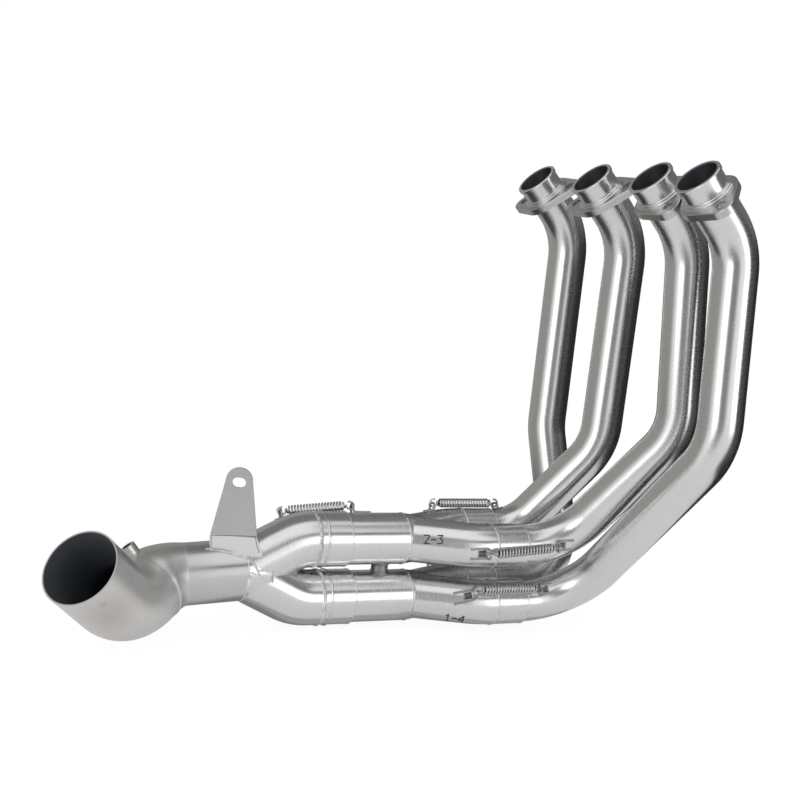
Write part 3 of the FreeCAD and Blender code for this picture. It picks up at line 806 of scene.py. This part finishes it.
def lay_welds(material):
    along = Vector((1, 0, 0))
    for n in (1, 2, 3, 4):
        centre = Vector((JOINT_X[n], LEG_Y[n], LEG_Z[n]))
        weld_ring("weld_sleeve_%d" % n, centre, along, SLEEVE_R, "sleeve", material)
        rim = centre + along * (SLEEVE_LENGTH - RIM_INSET)
        weld_ring("rim_sleeve_%d" % n, rim, along, SLEEVE_R, "sleeve_rim", material)
    for name, (x, z) in MOUTH.items():
        centre = Vector((x, PIPE_Y, z))
        weld_ring("weld_mouth_" + name, centre, along, SECONDARY_R, "mouth", material)
        centre = Vector((COLLECTOR_X[name], PIPE_Y, z))
        radius = COLLECTOR_SLEEVE_R
        weld_ring("weld_collector_" + name, centre, along, radius, "collector", material)
        rim = centre + along * (COLLECTOR_SLEEVE_LENGTH - RIM_INSET)
        weld_ring("rim_collector_" + name, rim, along, radius, "collector_rim", material)
    weld_ring("weld_outlet", OUTLET, along, OUTLET_R, "outlet", material)
    heading = (ELBOW_CORNERS[0] - OUTLET).normalized()
    weld_ring("weld_elbow", elbow_seam(), heading, OUTLET_R, "elbow", material)
    lay_pinch_weld(material)
    for number, (spots, bead) in enumerate(PINCH_SEAMS, 1):
        lay_seen_weld("weld_pinch_%d" % number, spots, bead, material)
    lay_bracket_weld(material)


def lay_seen_weld(name, spots, bead, material):
    """A seam on the rear merge along a line that the picture shows, in pixels."""
    surface = skin("collector_body")
    points = []
    for a, b in zip(spots, spots[1:]):
        for i in range(9):
            ray = picture_ray(Vector(a).lerp(Vector(b), i / 8))
            hit = surface.ray_cast(CAMERA_PLACE, ray)[0]
            if hit is not None and (not points or (hit - points[-1]).length > 0.3):
                points.append(hit)
    if len(points) > 2:
        weld_line(name, points, bead, material)


def elbow_seam():
    """Where the outlet tube's straight run ends and the elbow's first bend starts."""
    first, second = ELBOW_CORNERS[:2]
    incoming = (first - OUTLET).normalized()
    outgoing = (second - first).normalized()
    return first - incoming * ELBOW_BEND_R[0] * math.tan(incoming.angle(outgoing) / 2.0)


def lay_pinch_weld(material):
    """The seam in the pinch between the legs of the rear merge, on its far side."""
    surface = skin("collector_body")
    points = []
    first, step, count = FAR_PINCH_X
    for i in range(count):
        origin = Vector((first + step * i, PIPE_Y + FAR_PINCH_OFF, OUTLET.z))
        hit = surface.ray_cast(origin, Vector((0, -1, 0)))[0]
        if hit is not None:
            points.append(hit)
    if len(points) > 2:
        weld_line("weld_pinch_far", points, FAR_PINCH_BEAD, material)


def lay_bracket_weld(material):
    """A seam along the foot of the bracket, on the side towards the camera."""
    along = Vector((math.cos(BRACKET_TURN), math.sin(BRACKET_TURN), 0))
    facing = Vector((math.sin(BRACKET_TURN), -math.cos(BRACKET_TURN), 0))
    skins = skin("collector_body"), skin("outlet_tube")
    points = []
    first, step, count = BRACKET_SEAM
    for i in range(count):
        foot = BRACKET_FOOT + along * (first + step * i)
        best = None
        for target in skins:
            hit = target.ray_cast(foot + facing * BRACKET_SEAM_OFF, Vector((0, 0, -1)))[0]
            if hit is not None and (best is None or hit.z > best.z):
                best = hit
        if best is not None:
            points.append(best)
    if len(points) > 2:
        weld_line("weld_bracket", points, BRACKET_BEAD, material)


# Cylinder numbers, as strokes in a box one high and one wide
STROKES = {
    "1": [[(0.0, 0.76), (0.45, 1.0), (0.35, 0.0)], [(0.0, 0.0), (0.7, 0.0)]],
    "2": [[(0.0, 1.0), (0.9, 1.0), (0.95, 0.8), (0.1, 0.04)], [(0.0, 0.0), (0.95, 0.0)]],
    "3": [[(0.0, 1.0), (0.95, 1.0), (0.45, 0.62), (0.95, 0.4), (0.8, 0.06), (0.35, 0.0),
           (0.0, 0.04)]],
    "4": [[(0.85, 0.0), (1.0, 1.0), (0.0, 0.28), (1.05, 0.36)]],
    "-": [[(0.05, 0.46), (0.95, 0.46)]],
}


def etch(name, mark, node, corner, step, across, up, material):
    """Flat strokes on the side of a pipe, placed as the camera sees them, in pixels."""
    strokes = []
    for index, sign in enumerate(mark):
        origin = Vector(corner) + Vector(step) * index
        for stroke in STROKES[sign]:
            strokes.append([origin + Vector(across) * u + Vector(up) * v for u, v in stroke])
    return draw(name, strokes, node, MARK_PEN, material)


def draw(name, strokes, node, pen, material):
    """Flat strokes on a node, along lines of the picture."""
    surface = skin(node)
    vertices, faces = [], []
    for spots in strokes:
        for a, b in zip(spots, spots[1:]):
            lay_stroke(surface, Vector(a), Vector(b), vertices, faces, pen)
    mesh = bpy.data.meshes.new(name)
    mesh.from_pydata(vertices, [], faces)
    mesh.update()
    return piece(name, mesh, material)


def lay_stroke(surface, a, b, vertices, faces, pen):
    heading = (b - a).normalized()
    side = Vector((-heading.y, heading.x)) * pen
    a, b = a - heading * pen * 0.7, b + heading * pen * 0.7
    count = max(2, int((b - a).length / STROKE_STEP))
    first = len(vertices)
    for i in range(count + 1):
        spot = a.lerp(b, i / count)
        for edge in (spot - side, spot + side):
            hit, normal = surface.ray_cast(CAMERA_PLACE, picture_ray(edge))[:2]
            if hit is None:
                hit, normal = surface.ray_cast(CAMERA_PLACE, picture_ray(spot))[:2]
            if normal.dot(picture_ray(edge)) > 0:
                normal = -normal
            vertices.append((hit + normal * STROKE_LIFT) * MM)
    for i in range(count):
        k = first + 2 * i
        faces.append([k, k + 1, k + 3, k + 2])


# Stage
def stage_object(name, vertices, faces, material):
    mesh = bpy.data.meshes.new(name)
    mesh.from_pydata(vertices, [], faces)
    mesh.materials.append(material)
    obj = bpy.data.objects.new(name, mesh)
    bpy.context.scene.collection.objects.link(obj)
    return obj


def seen_directly(tree):
    """1 for camera, glossy and transmission rays, 0 for the rays that carry light."""
    path = add(tree, "ShaderNodeLightPath")
    either = math_node(tree, "MAXIMUM", path.outputs["Is Camera Ray"],
                       path.outputs["Is Glossy Ray"])
    return math_node(tree, "MAXIMUM", either, path.outputs["Is Transmission Ray"])


def floor():
    """A pale floor: white to the camera, with a soft shadow, and greyer in reflections."""
    material, tree, shader = new_material("floor_pale")
    shader.inputs["Base Color"].default_value = FLOOR_COLOUR
    shader.inputs["Roughness"].default_value = 0.9
    glow = add(tree, "ShaderNodeEmission", {"Color": (1, 1, 1, 1), "Strength": FLOOR_GLOW})
    path = add(tree, "ShaderNodeLightPath")
    mirrored = math_node(tree, "MAXIMUM", path.outputs["Is Glossy Ray"],
                         path.outputs["Is Transmission Ray"])
    share = math_node(tree, "MULTIPLY", path.outputs["Is Camera Ray"], FLOOR_SEEN)
    share = math_node(tree, "MULTIPLY_ADD", mirrored, FLOOR_MIRRORED, share)
    blend = add(tree, "ShaderNodeMixShader", {0: share, 1: shader.outputs[0],
                                              2: glow.outputs[0]})
    out = tree.nodes["Material Output"]
    tree.links.new(blend.outputs[0], out.inputs["Surface"])
    z = cad_box[0].z - FLOOR_GAP
    size = STAGE_SIZE
    corners = [(-size, -size, z), (size, -size, z), (size, size, z), (-size, size, z)]
    return stage_object("floor", corners, [[0, 1, 2, 3]], material)


def card(name, tone, from_degrees, to_degrees, low, high, soft):
    """A grey card that bends round the object. Only reflections see it."""
    centre = STAGE_CENTRE * MM
    rises = [Vector((0, 0, CARD_DISTANCE * math.tan(math.radians(a)))) for a in (low, high)]

    def edges(heading):
        return [centre + heading * CARD_DISTANCE + rise for rise in rises]
    sector(name, tone, from_degrees, to_degrees, soft, edges)


def sector(name, tone, from_degrees, to_degrees, soft, edges):
    """A strip round the object that fades to white over a soft edge, in degrees."""
    first = from_degrees - soft / 2.0 if from_degrees > -180 else from_degrees
    last = to_degrees + soft / 2.0 if to_degrees < 180 else to_degrees
    count = int((last - first) / 2.0)
    vertices, faces, weights = [], [], []
    for i in range(count + 1):
        angle = first + (last - first) * i / count
        vertices += edges(towards_camera(math.radians(angle)))
        room = [1.0]
        if soft and from_degrees > -180:
            room.append((angle - first) / soft)
        if soft and to_degrees < 180:
            room.append((last - angle) / soft)
        weights += [min(room)] * 2
        if i:
            a = 2 * (i - 1)
            faces.append([a, a + 1, a + 3, a + 2])
    material, tree, _ = new_material(name)
    weight = add(tree, "ShaderNodeAttribute", attribute_name="weight").outputs["Fac"]
    colour = mixed(tree, weight, (1, 1, 1, 1), tone + (1.0,))
    glow = add(tree, "ShaderNodeEmission", {"Color": colour, "Strength": 1.0})
    tree.links.new(glow.outputs[0], tree.nodes["Material Output"].inputs["Surface"])
    obj = stage_object(name, vertices, faces, material)
    layer = obj.data.attributes.new("weight", "FLOAT", "POINT")
    layer.data.foreach_set("value", weights)
    hide_but_glossy(obj)


def towards_camera(turn):
    """Level direction from the object to the camera, turned to the camera's right."""
    angle = CAMERA_YAW - turn
    return Vector((-math.sin(angle), -math.cos(angle), 0))


def hide_but_glossy(obj):
    obj.visible_camera = False
    obj.visible_diffuse = False
    obj.visible_shadow = False
    obj.visible_transmission = False


def ceiling():
    """A grey sheet overhead, behind the object only."""
    z = STAGE_CENTRE.z * MM + CARD_DISTANCE * math.tan(math.radians(CEILING_RISE))
    size = CARD_DISTANCE * 1.3
    corners = [(-size, 0.05, z), (size, 0.05, z), (size, size, z), (-size, size, z)]
    grey_sheet("ceiling", corners, CEILING_TONE)


def ground(name, tone, from_degrees, to_degrees, soft, near):
    """The foot of a card: what the upright tubes see of the ground below it."""
    centre = STAGE_CENTRE * MM
    centre.z = cad_box[0].z + 0.002

    def edges(heading):
        return [centre + heading * near, centre + heading * CARD_DISTANCE]
    sector(name, tone, from_degrees, to_degrees, soft, edges)


def ground_under(name, tone, near, rise):
    """The shaded ground under the lower pipes, for the reflections along their bottoms."""
    z = cad_box[0].z + rise
    front = near + 0.008 - (PIPE_Y - LEG_Y[4]) * MM
    edge = [(-0.44, near + 0.05, z), (-0.30, near, z), (-0.156, near, z), (-0.09, front, z)]
    grey_sheet(name, edge + [(0.03, front, z), (0.03, 0.13, z), (-0.44, 0.13, z)], tone)


def ground_behind():
    """A dark sheet that stands for the shade on the ground on the far side, which only the
    undersides of the pipes see.
    """
    z = cad_box[0].z + 0.001
    near, far = 0.13, 2.6
    corners = [(-0.62, near, z), (0.5, near, z), (0.9, far, z), (-2.2, far, z)]
    grey_sheet("ground_behind", corners, BEHIND_TONE)


def shade_card():
    """An upright dark card that shades the right edges of the front tubes."""
    (x1, y1), (x2, y2) = SHADE_EDGES
    low, high = SHADE_HEIGHTS
    corners = [(x1, y1, low), (x2, y2, low), (x2, y2, high), (x1, y1, high)]
    grey_sheet("shade_card", corners, SHADE_TONE)


def grey_sheet(name, corners, tone):
    """A flat sheet that glows in one tone, for reflections only."""
    material, tree, _ = new_material(name)
    glow = add(tree, "ShaderNodeEmission", {"Color": tone + (1.0,), "Strength": 1.0})
    tree.links.new(glow.outputs[0], tree.nodes["Material Output"].inputs["Surface"])
    obj = stage_object(name, corners, [list(range(len(corners)))], material)
    hide_but_glossy(obj)


def lights():
    """A white world, the cards and sheets that reflections see, and two soft lamps."""
    world = bpy.data.worlds.new("studio")
    bpy.context.scene.world = world
    world.use_nodes = True
    tree = world.node_tree
    back = tree.nodes["Background"]
    back.inputs["Color"].default_value = (1, 1, 1, 1)
    strength = math_node(tree, "MULTIPLY_ADD", seen_directly(tree), 1.0 - WORLD_LIGHT,
                         WORLD_LIGHT)
    tree.links.new(strength, back.inputs["Strength"])
    for name, values in CARDS.items():
        card(name, *values)
    ceiling()
    for name, values in GROUNDS.items():
        ground(name, *values)
    ground_behind()
    for name, values in SHADED_GROUNDS.items():
        ground_under(name, *values)
    shade_card()
    for name, values in LAMPS.items():
        soft_lamp(name, *values)


def soft_lamp(name, turn, rise, width):
    lamp = bpy.data.lights.new(name, "AREA")
    lamp.shape = "RECTANGLE"
    lamp.size = width
    lamp.size_y = LAMP_HEIGHT
    lamp.energy = LAMP_POWER
    obj = bpy.data.objects.new(name, lamp)
    heading = towards_camera(math.radians(turn))
    heading.z = math.tan(math.radians(rise))
    obj.location = STAGE_CENTRE * MM + heading.normalized() * LAMP_DISTANCE
    obj.rotation_mode = "QUATERNION"
    obj.rotation_quaternion = heading.to_track_quat("Z", "Y")
    bpy.context.scene.collection.objects.link(obj)


def camera():
    data = bpy.data.cameras.new("camera")
    data.sensor_width = SENSOR
    data.lens = SENSOR * FOCAL_PIXELS / PHOTO_PIXELS
    data.clip_start = 0.05
    data.clip_end = 50.0
    obj = bpy.data.objects.new("camera", data)
    bpy.context.scene.collection.objects.link(obj)
    right, up, ahead = camera_axes()
    turn = Matrix((right, up, -ahead)).transposed()
    obj.matrix_world = Matrix.Translation(CAMERA_PLACE * MM) @ turn.to_4x4()
    bpy.context.scene.camera = obj


def dress_nodes():
    """Gives every CAD node the finish of its slot, with its grain laid round the pipe."""
    materials = {name: steel(name, *values) for name, values in FINISHES.items()}
    materials["spring_wire"] = wire_steel("spring_wire", 0.42, 0.80)
    materials["hook_wire"] = wire_steel("hook_wire", 0.26, 0.50)
    lines = node_lines()
    for part in frame["record"]["subparts"]:
        obj = frame["nodes"][part["node"]]
        if part["node"] in lines:
            hollow = part["material_slot"] not in ("machined_plate", "bracket_sheet")
            lay_grain(obj, lines[part["node"]], hollow)
        if part["node"] == "mounting_bracket":
            mark_flap(obj)
        finish = "hook_wire" if "_hook_" in part["node"] else part["material_slot"]
        finish = "outlet_finish" if part["node"] == "outlet_tube" else finish
        finish = "satin_elbow" if part["node"] == "sensor_bung" else finish
        obj.data.materials.clear()
        obj.data.materials.append(materials[finish])
    return materials


camera()
materials = dress_nodes()
wind_springs(materials["spring_wire"])
lay_welds(weld_metal())
# Painted shade between the feet of the hooks
shade_paint = painted_shade_material()
lay_hook_shade(shade_paint)
marks = etched_black()
for name, values in MARKS.items():
    etch(name, *values, marks)
# Painted shade along the bracket's fold and the edges of its foot
draw("fold_shade_line", FOLD_SHADE_LINES, "mounting_bracket", FOLD_SHADE_PEN, shade_paint)
floor()
lights()
bpy.context.scene.view_settings.view_transform = "Standard"
